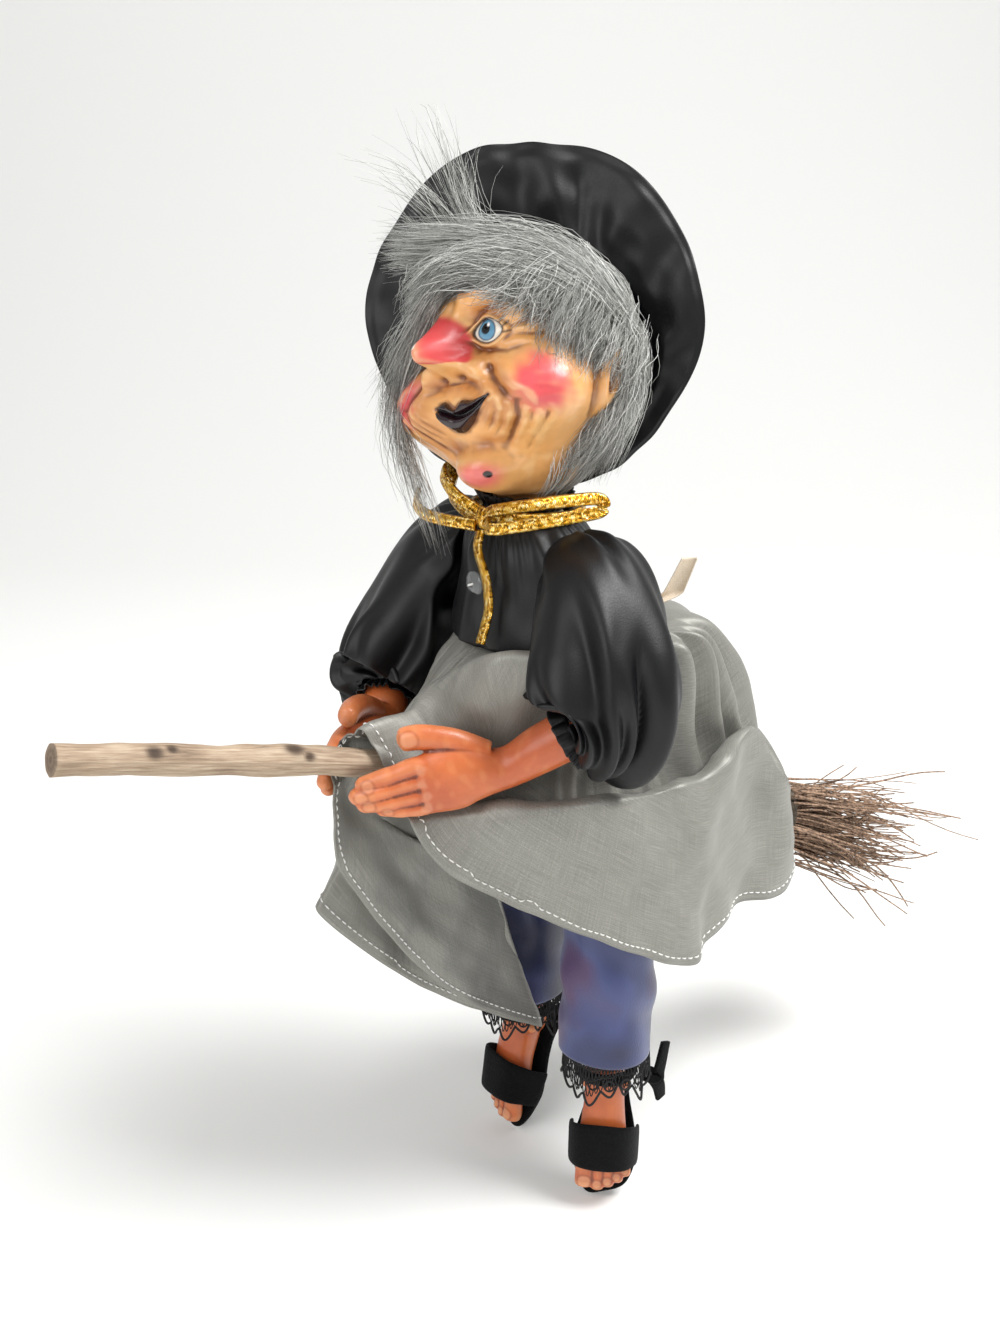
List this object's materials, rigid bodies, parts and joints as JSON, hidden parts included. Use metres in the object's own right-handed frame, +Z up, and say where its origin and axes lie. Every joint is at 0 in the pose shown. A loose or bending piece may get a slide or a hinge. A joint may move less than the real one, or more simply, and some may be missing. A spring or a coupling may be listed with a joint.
{
  "type": "kitchen witch doll",
  "caption": "Cloth kitchen witch with a moulded, painted head, hands and feet, dressed in satin and taffeta, sitting astride a twig broom; hangs from its neck.",
  "frame": {"origin": "on the neck axis at the height of the collar, the point from which the doll is hung", "axes": "+Z up along the neck axis, the doll faces -Y, its left side is +X, the broom runs along Y"},
  "size_m": [0.1628, 0.3968, 0.3977],
  "materials": {
    "calico": "plain unbleached cotton, stuffed",
    "black_satin": "black satin with a soft sheen",
    "grey_taffeta": "grey slubbed taffeta with white hem stitching",
    "blue_satin": "blue-violet printed satin",
    "black_lace": "black lace trim",
    "black_felt": "matt black felt",
    "tan_vinyl": "moulded vinyl, orange-tan with darker grooves",
    "painted_skin": "moulded vinyl, painted face under a satin varnish",
    "grey_fur": "long-pile grey fur fabric",
    "gold_braid": "flat metallic gold braid",
    "clear_plastic": "clear domed shirt button",
    "bare_wood": "peeled natural stick",
    "twig_bark": "fine dry twigs",
    "binding_wire": "dull wire wound round the twigs",
    "cream_tape": "cream woven tape, left blank"
  },
  "bodies": {
    "torso": {"torso": "calico", "neck_peg": "bare_wood", "blouse": "black_satin", "collar": "black_satin", "button": "clear_plastic", "neck_cord": "gold_braid", "bow_knot": "gold_braid", "bow_loop_left": "gold_braid", "bow_loop_right": "gold_braid", "bow_tail_short": "gold_braid", "bow_tail_long": "gold_braid", "waistband": "grey_taffeta", "skirt": "grey_taffeta", "care_tag": "cream_tape", "broom_handle": "bare_wood", "broom_twigs": "twig_bark", "broom_binding": "binding_wire"},
    "head": {"head": "painted_skin", "wig": "grey_fur", "hat_brim": "black_satin", "hat_crown": "black_satin"},
    "left_arm": {"left_sleeve": "black_satin", "left_cuff_frill": "black_satin", "left_upper_arm": "calico", "left_forearm": "tan_vinyl"},
    "right_arm": {"right_sleeve": "black_satin", "right_cuff_frill": "black_satin", "right_upper_arm": "calico", "right_forearm": "tan_vinyl"},
    "left_leg": {"left_legging": "blue_satin", "left_leg_core": "calico", "left_lace": "black_lace", "left_foot": "tan_vinyl", "left_sandal_sole": "black_felt", "left_toe_band": "black_felt", "left_ankle_strap": "black_felt", "left_ankle_tie": "black_felt"},
    "right_leg": {"right_legging": "blue_satin", "right_leg_core": "calico", "right_lace": "black_lace", "right_foot": "tan_vinyl", "right_sandal_sole": "black_felt", "right_toe_band": "black_felt", "right_ankle_strap": "black_felt", "right_ankle_tie": "black_felt"}
  },
  "joints": [
    {"name": "head_turn", "type": "hinge", "parent": "torso", "child": "head", "pos_m": [0, 0, 0], "axis": [0, 0, 1], "range_deg": [-25, 25]},
    {"name": "left_shoulder", "type": "hinge", "parent": "torso", "child": "left_arm", "pos_m": [0.024, 0.006, -0.004], "axis": [0, -1, 0], "range_deg": [0, 20]},
    {"name": "right_shoulder", "type": "hinge", "parent": "torso", "child": "right_arm", "pos_m": [-0.024, -0.002, -0.004], "axis": [0, 1, 0], "range_deg": [0, 20]},
    {"name": "left_hip", "type": "hinge", "parent": "torso", "child": "left_leg", "pos_m": [0.028, 0.02, -0.101], "axis": [1, 0, 0], "range_deg": [-10, 25]},
    {"name": "right_hip", "type": "hinge", "parent": "torso", "child": "right_leg", "pos_m": [-0.028, 0.02, -0.101], "axis": [1, 0, 0], "range_deg": [-10, 25]}
  ]
}
